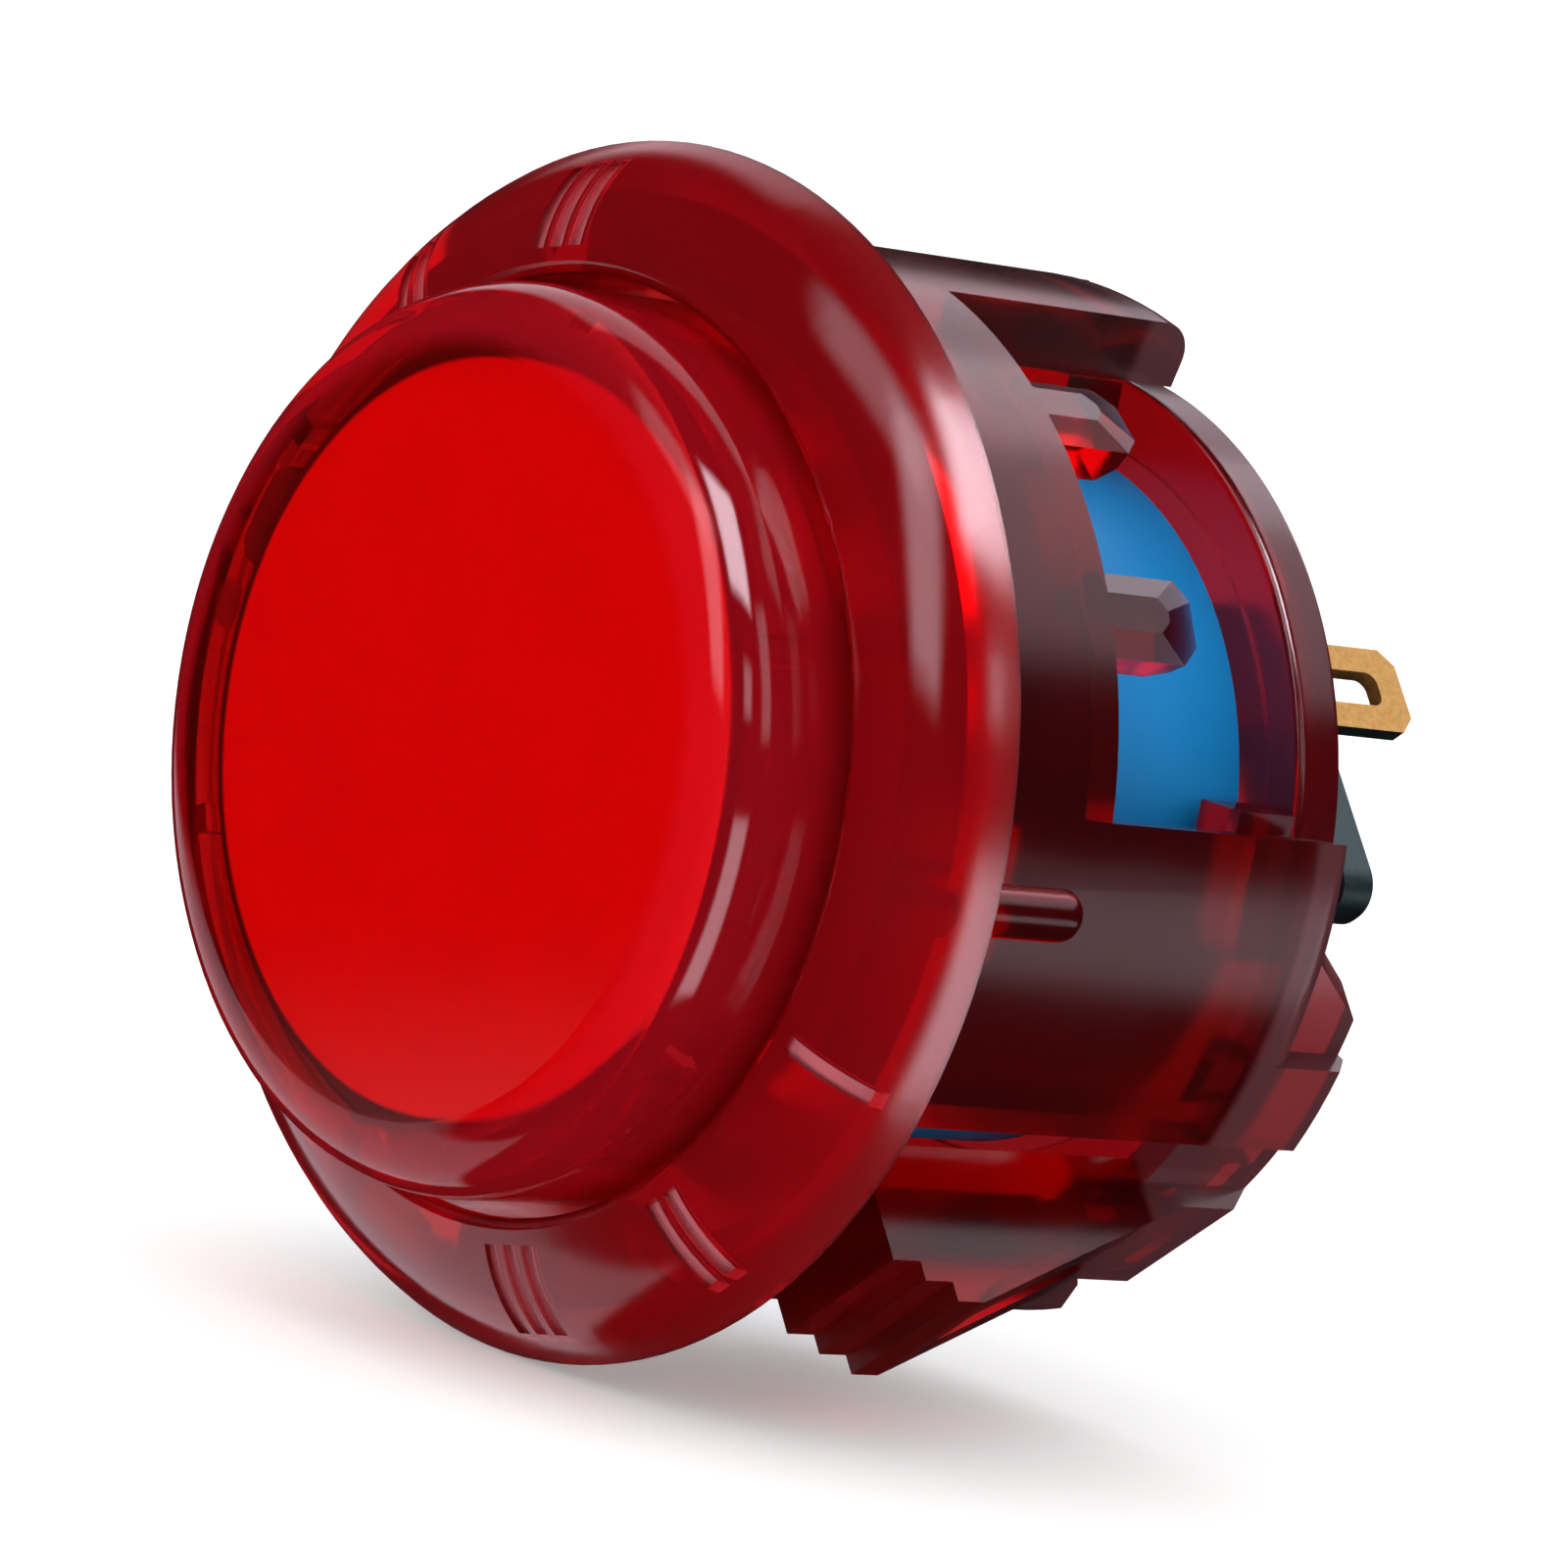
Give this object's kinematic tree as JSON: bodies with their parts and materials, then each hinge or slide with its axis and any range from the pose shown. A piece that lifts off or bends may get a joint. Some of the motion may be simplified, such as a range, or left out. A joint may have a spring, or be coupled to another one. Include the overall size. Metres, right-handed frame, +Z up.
{
  "type": "arcade push button",
  "caption": "Round snap-in push button with a domed bezel, a clear-capped plunger, stepped side clips and slotted blade terminals.",
  "frame": {"origin": "centre of the seat under the bezel, on the button's axis, where the panel's front face lies", "axes": "+Y runs from the player's side to the terminals behind the panel, -Y is the side that is pressed, +Z is up as the button lies in the picture"},
  "size_m": [0.0338, 0.031, 0.0338],
  "materials": {
    "red_clear_plastic": "translucent, polished bezel and frosted barrel",
    "cap_clear_plastic": "clear, polished",
    "bright_red_plastic": "moulded",
    "blue_plastic": "moulded",
    "soft_rubber": "soft",
    "stem_plastic": "moulded",
    "case_plastic": "moulded",
    "spring_steel": "drawn wire",
    "terminal_brass": "stamped, grained",
    "board_laminate": "coated laminate",
    "screw_steel": "zinc plated",
    "solder": "bright, slightly dull"
  },
  "bodies": {
    "body": {"housing": "red_clear_plastic", "rear_base": "red_clear_plastic", "switch_tower": "blue_plastic", "front_cushion": "soft_rubber", "stop_cushion": "soft_rubber", "switch_spring": "spring_steel", "switch_upper_case": "case_plastic", "switch_lower_case": "case_plastic", "contact_leaf": "terminal_brass", "fixed_contact": "terminal_brass", "circuit_board": "board_laminate", "board_screws": "screw_steel", "pin_solder": "solder", "terminal_solder": "solder", "terminal_near": "terminal_brass", "terminal_far": "terminal_brass"},
    "plunger": {"plunger_cap": "cap_clear_plastic", "plunger_disc": "bright_red_plastic", "plunger_core": "bright_red_plastic", "switch_stem": "stem_plastic"}
  },
  "joints": [
    {"name": "plunger_press", "type": "slide", "parent": "body", "child": "plunger", "axis": [0, 1, 0], "range_m": [0, 0.0032], "stiffness_N_per_m": 80, "springref_m": -0.004, "deforming": ["switch_spring"]}
  ]
}
